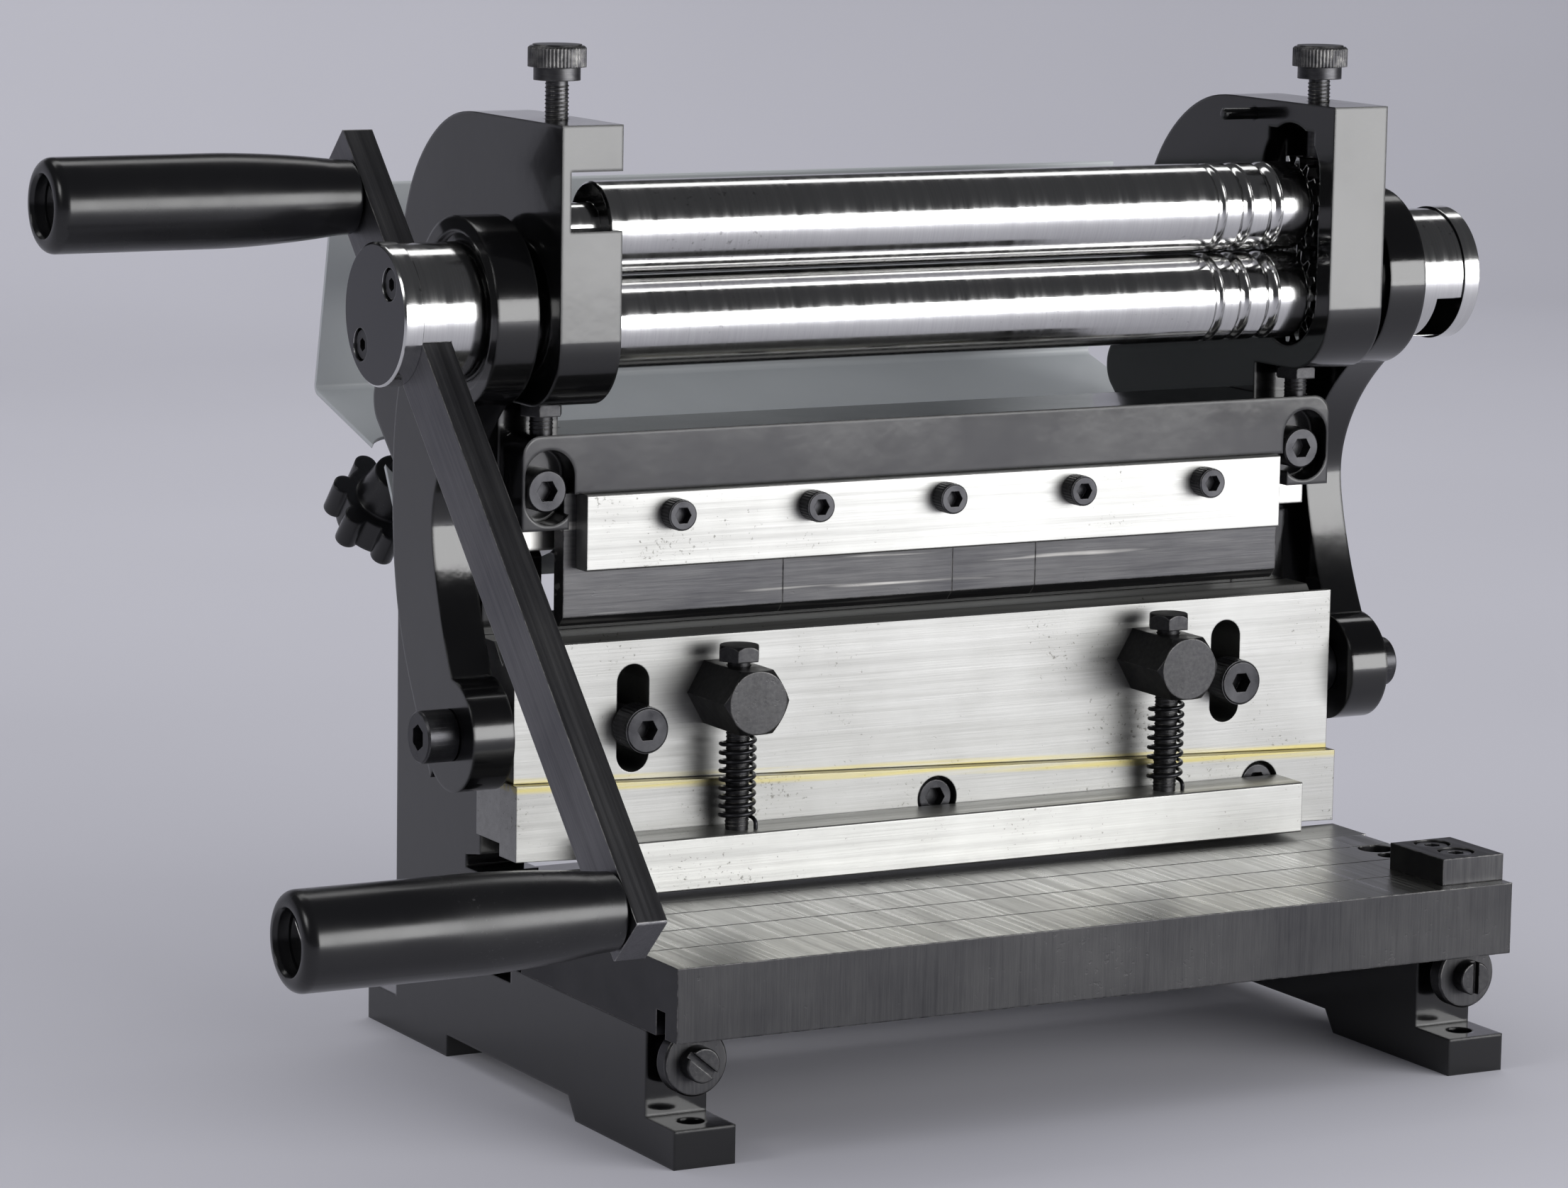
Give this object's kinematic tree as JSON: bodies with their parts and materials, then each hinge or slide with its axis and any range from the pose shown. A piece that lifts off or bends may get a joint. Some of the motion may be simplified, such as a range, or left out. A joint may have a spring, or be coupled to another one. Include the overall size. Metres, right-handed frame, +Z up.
{
  "type": "slip roll machine",
  "caption": "Bench machine for small sheet metal: geared slip rolls over a press brake and a shear, worked by one cranked lever with two turning grips.",
  "frame": {"origin": "centre of the four foot bolt holes, on the bench", "axes": "+X along the rolls, away from the lever, +Y to the back, +Z up"},
  "size_m": [0.3981, 0.2583, 0.2665],
  "materials": {
    "black_paint": "gloss",
    "ground_steel": "satin",
    "turned_steel": "polished",
    "dark_steel": "satin",
    "black_oxide": "satin",
    "black_plastic": "gloss",
    "grey_sheet": "satin"
  },
  "bodies": {
    "base": {"left_frame": "black_paint", "right_frame": "black_paint", "cross_plate": "black_paint", "rear_tie": "black_paint", "roll_pin": "black_paint", "rear_screws": "black_oxide", "rear_guard": "grey_sheet", "brake_beam": "black_paint", "beam_screws": "black_oxide", "beam_jack_bolts": "dark_steel", "clamp_plate": "ground_steel", "clamp_screws": "black_oxide", "die_segment_1": "dark_steel", "die_segment_2": "dark_steel", "die_segment_3": "dark_steel", "die_segment_4": "dark_steel", "ram_guide_screws": "black_oxide"},
    "table_slide": {"table": "dark_steel", "lower_blade": "ground_steel", "lower_blade_screws": "black_oxide", "stop_block": "dark_steel", "stop_screws": "black_oxide"},
    "left_adjuster": {"left_adjuster_screw": "black_oxide", "left_adjuster_washer": "dark_steel"},
    "right_adjuster": {"right_adjuster_screw": "black_oxide", "right_adjuster_washer": "dark_steel"},
    "crank": {"lower_roll": "turned_steel", "lower_roll_gear": "turned_steel", "left_hub": "turned_steel", "right_hub": "turned_steel", "left_hub_plate": "turned_steel", "right_hub_plate": "turned_steel", "hub_plate_screws": "black_oxide", "lever_bar": "dark_steel", "upper_grip_spindle": "turned_steel", "lower_grip_spindle": "turned_steel"},
    "upper_handle": {"upper_grip": "black_plastic"},
    "lower_handle": {"lower_grip": "black_plastic"},
    "left_link": {"left_rod": "black_paint"},
    "right_link": {"right_rod": "black_paint"},
    "ram": {"ram_plate": "ground_steel", "upper_blade": "ground_steel", "upper_blade_screws": "black_oxide", "hold_down_bosses": "dark_steel", "left_rod_pin": "black_oxide", "right_rod_pin": "black_oxide", "left_spring": "black_oxide", "right_spring": "black_oxide"},
    "hold_down": {"hold_down_bar": "ground_steel", "hold_down_bolts": "dark_steel"},
    "roll_bearings": {"left_roll_bearing": "dark_steel", "right_roll_bearing": "dark_steel"},
    "left_top_screw": {"left_thumbscrew": "black_oxide"},
    "right_top_screw": {"right_thumbscrew": "black_oxide"},
    "top_roll": {"upper_roll": "turned_steel", "upper_roll_gear": "turned_steel"},
    "rear_carriage": {"rear_roll_blocks": "dark_steel"},
    "back_roll": {"rear_roll": "turned_steel"},
    "left_star": {"left_star_knob": "black_plastic"},
    "right_star": {"right_star_knob": "black_plastic"}
  },
  "joints": [
    {"name": "crank_turn", "type": "hinge", "parent": "base", "child": "crank", "pos_m": [0, -0.0021, 0.1965], "axis": [1, 0, 0], "range_deg": [-80, 10]},
    {"name": "ram_stroke", "type": "slide", "parent": "base", "child": "ram", "axis": [0, 0, 1], "range_m": [-0.00945, 0.00127]},
    {"name": "hold_down_slide", "type": "slide", "parent": "ram", "child": "hold_down", "axis": [0, 0, 1], "range_m": [-0.0011, 0.00806], "deforming": ["left_spring", "right_spring"]},
    {"name": "left_rod_swing", "type": "hinge", "parent": "crank", "child": "left_link", "pos_m": [-0.1324, 0.00396, 0.2], "axis": [1, 0, 0], "range_deg": [-10.5, 81]},
    {"name": "right_rod_swing", "type": "hinge", "parent": "crank", "child": "right_link", "pos_m": [0.1324, 0.00396, 0.2], "axis": [1, 0, 0], "range_deg": [-10.5, 81]},
    {"name": "upper_grip_spin", "type": "hinge", "parent": "crank", "child": "upper_handle", "pos_m": [-0.197, 0.03015, 0.22684], "axis": [1, 0, 0], "continuous": true},
    {"name": "lower_grip_spin", "type": "hinge", "parent": "crank", "child": "lower_handle", "pos_m": [-0.197, -0.11966, 0.07332], "axis": [1, 0, 0], "continuous": true},
    {"name": "upper_roll_lift", "type": "slide", "parent": "base", "child": "roll_bearings", "axis": [0, 0, 1], "range_m": [0, 0.008]},
    {"name": "left_thumbscrew_turn", "type": "hinge", "parent": "roll_bearings", "child": "left_top_screw", "pos_m": [-0.1138, -0.0021, 0.25], "axis": [0, 0, 1], "range_deg": [-5, 2890]},
    {"name": "right_thumbscrew_turn", "type": "hinge", "parent": "roll_bearings", "child": "right_top_screw", "pos_m": [0.1138, -0.0021, 0.25], "axis": [0, 0, 1], "range_deg": [-5, 2890]},
    {"name": "upper_roll_turn", "type": "hinge", "parent": "roll_bearings", "child": "top_roll", "pos_m": [0, -0.0021, 0.2204], "axis": [1, 0, 0], "range_deg": [-10.5, 80.5]},
    {"name": "rear_roll_adjust", "type": "slide", "parent": "base", "child": "rear_carriage", "axis": [0, 0.682, -0.7314], "range_m": [-0.008, 0.003]},
    {"name": "rear_roll_spin", "type": "hinge", "parent": "rear_carriage", "child": "back_roll", "pos_m": [0, 0.0431, 0.1975], "axis": [1, 0, 0], "continuous": true},
    {"name": "left_star_turn", "type": "hinge", "parent": "rear_carriage", "child": "left_star", "pos_m": [-0.1138, 0.10039, 0.13607], "axis": [0, 0.682, -0.7314], "range_deg": [-2890, 1090]},
    {"name": "right_star_turn", "type": "hinge", "parent": "rear_carriage", "child": "right_star", "pos_m": [0.1138, 0.10039, 0.13607], "axis": [0, 0.682, -0.7314], "range_deg": [-2890, 1090]},
    {"name": "table_adjust", "type": "slide", "parent": "base", "child": "table_slide", "axis": [0, 1, 0], "range_m": [-0.0015, 0.0002]},
    {"name": "left_adjuster_turn", "type": "hinge", "parent": "table_slide", "child": "left_adjuster", "pos_m": [-0.1138, -0.085, 0.025], "axis": [0, 1, 0], "range_deg": [-545, 75]},
    {"name": "right_adjuster_turn", "type": "hinge", "parent": "table_slide", "child": "right_adjuster", "pos_m": [0.1138, -0.085, 0.025], "axis": [0, 1, 0], "range_deg": [-545, 75]}
  ],
  "couplings": [
    {"joint": "ram_stroke", "follows": "crank_turn", "m_per_rad": 0.0067},
    {"joint": "hold_down_slide", "follows": "crank_turn", "m_per_rad": -0.0057},
    {"joint": "left_rod_swing", "follows": "crank_turn", "ratio": -1.004},
    {"joint": "right_rod_swing", "follows": "crank_turn", "ratio": -1.004},
    {"joint": "upper_roll_turn", "follows": "crank_turn", "ratio": -1},
    {"joint": "left_thumbscrew_turn", "follows": "upper_roll_lift", "rad_per_m": 6283.2},
    {"joint": "right_thumbscrew_turn", "follows": "upper_roll_lift", "rad_per_m": 6283.2},
    {"joint": "left_star_turn", "follows": "rear_roll_adjust", "rad_per_m": 6283.2},
    {"joint": "right_star_turn", "follows": "rear_roll_adjust", "rad_per_m": 6283.2},
    {"joint": "left_adjuster_turn", "follows": "table_adjust", "rad_per_m": 6283.2},
    {"joint": "right_adjuster_turn", "follows": "table_adjust", "rad_per_m": 6283.2}
  ]
}
